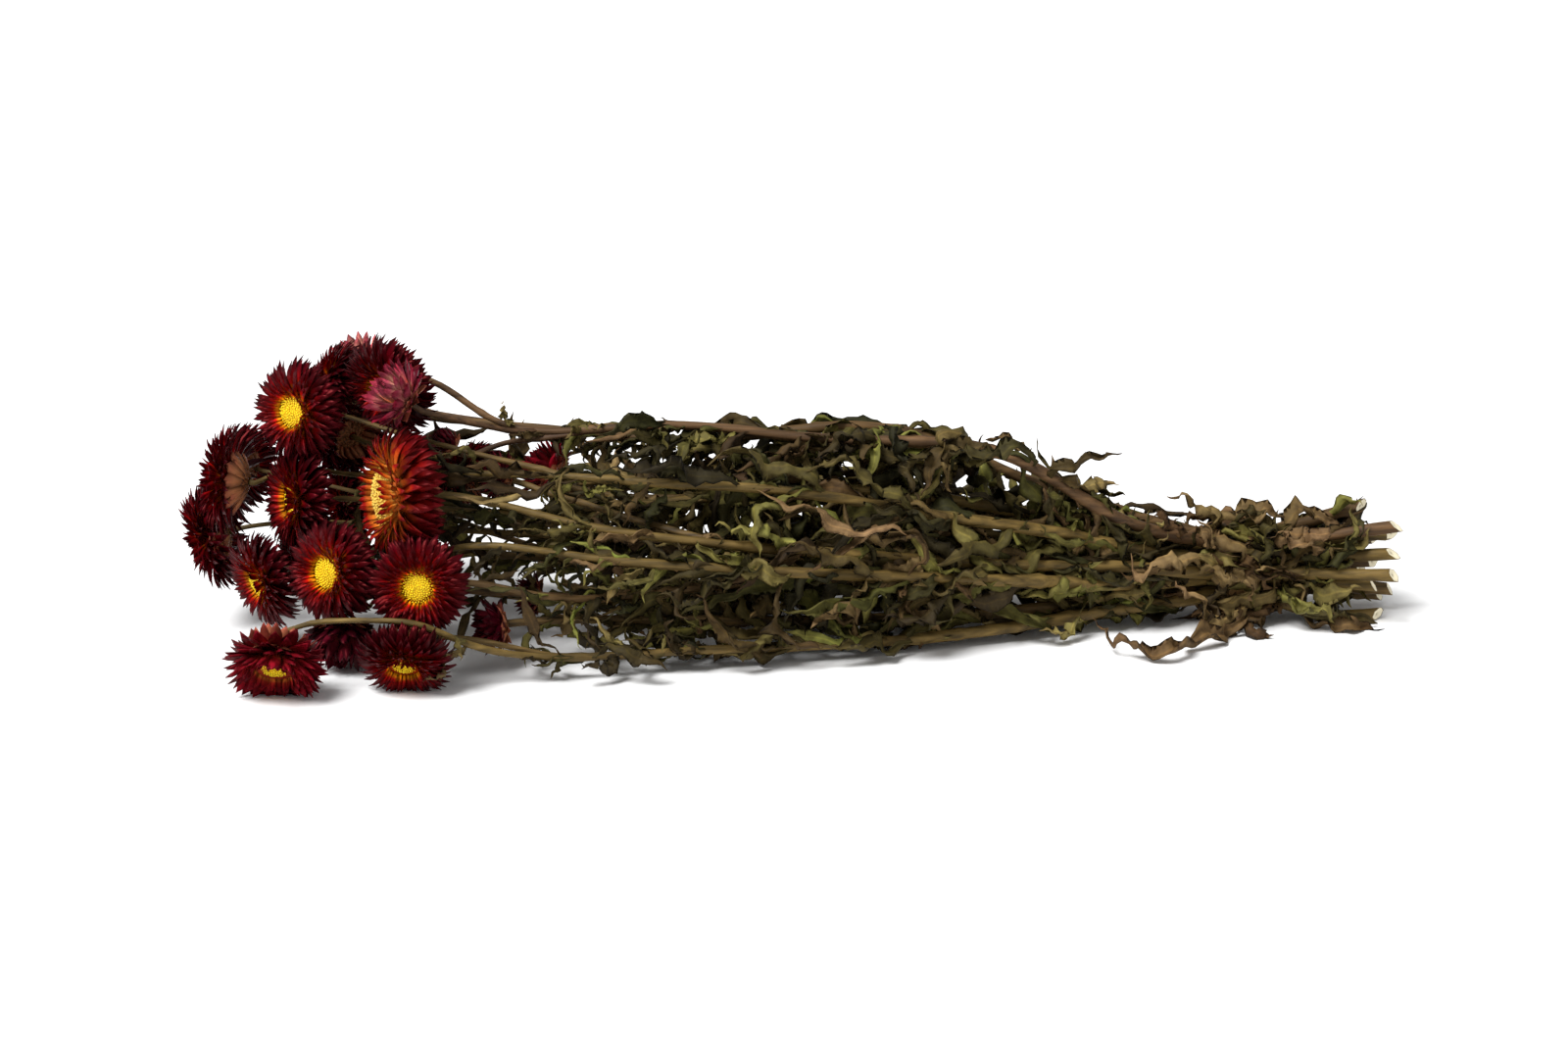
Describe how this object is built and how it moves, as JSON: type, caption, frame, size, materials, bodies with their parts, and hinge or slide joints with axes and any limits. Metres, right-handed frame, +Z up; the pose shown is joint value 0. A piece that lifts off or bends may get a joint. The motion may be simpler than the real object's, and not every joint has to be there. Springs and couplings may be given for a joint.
{
  "type": "dried strawflower bunch",
  "caption": "Tied bunch of dried dark-red strawflowers with yellow centres, lying on its side, with curled olive-brown leaves.",
  "frame": {"origin": "on the ground, under the middle of the bunch's box", "axes": "+X along the bunch from the flower heads to the cut stem ends, +Z up from the ground it lies on, +Y across it"},
  "size_m": [0.5468, 0.1958, 0.1332],
  "materials": {
    "stems_and_leaves": "matte",
    "bracts": "satin",
    "discs": "matte",
    "band": "matte"
  },
  "bodies": {
    "root": {"leafy_stem_01": "stems_and_leaves", "leafy_stem_02": "stems_and_leaves", "leafy_stem_03": "stems_and_leaves", "leafy_stem_04": "stems_and_leaves", "leafy_stem_05": "stems_and_leaves", "leafy_stem_06": "stems_and_leaves", "leafy_stem_07": "stems_and_leaves", "leafy_stem_08": "stems_and_leaves", "leafy_stem_09": "stems_and_leaves", "leafy_stem_10": "stems_and_leaves", "leafy_stem_11": "stems_and_leaves", "leafy_stem_12": "stems_and_leaves", "leafy_stem_13": "stems_and_leaves", "head_01_bracts": "bracts", "head_02_bracts": "bracts", "head_03_bracts": "bracts", "head_04_bracts": "bracts", "head_05_bracts": "bracts", "head_06_bracts": "bracts", "head_07_bracts": "bracts", "head_08_bracts": "bracts", "head_09_bracts": "bracts", "head_10_bracts": "bracts", "head_11_bracts": "bracts", "head_12_bracts": "bracts", "head_13_bracts": "bracts", "head_14_bracts": "bracts", "head_15_bracts": "bracts", "head_16_bracts": "bracts", "head_17_bracts": "bracts", "head_18_bracts": "bracts", "head_19_bracts": "bracts", "head_20_bracts": "bracts", "head_21_bracts": "bracts", "head_22_bracts": "bracts", "head_23_bracts": "bracts", "head_24_bracts": "bracts", "head_25_bracts": "bracts", "head_26_bracts": "bracts", "head_01_disc": "discs", "head_02_disc": "discs", "head_04_disc": "discs", "head_06_disc": "discs", "head_07_disc": "discs", "head_08_disc": "discs", "head_09_disc": "discs", "head_10_disc": "discs", "head_11_disc": "discs", "head_12_disc": "discs", "head_13_disc": "discs", "head_15_disc": "discs", "head_21_disc": "discs", "head_22_disc": "discs", "head_23_disc": "discs", "head_24_disc": "discs", "head_25_disc": "discs", "head_26_disc": "discs", "tie_band": "band"}
  },
  "joints": []
}
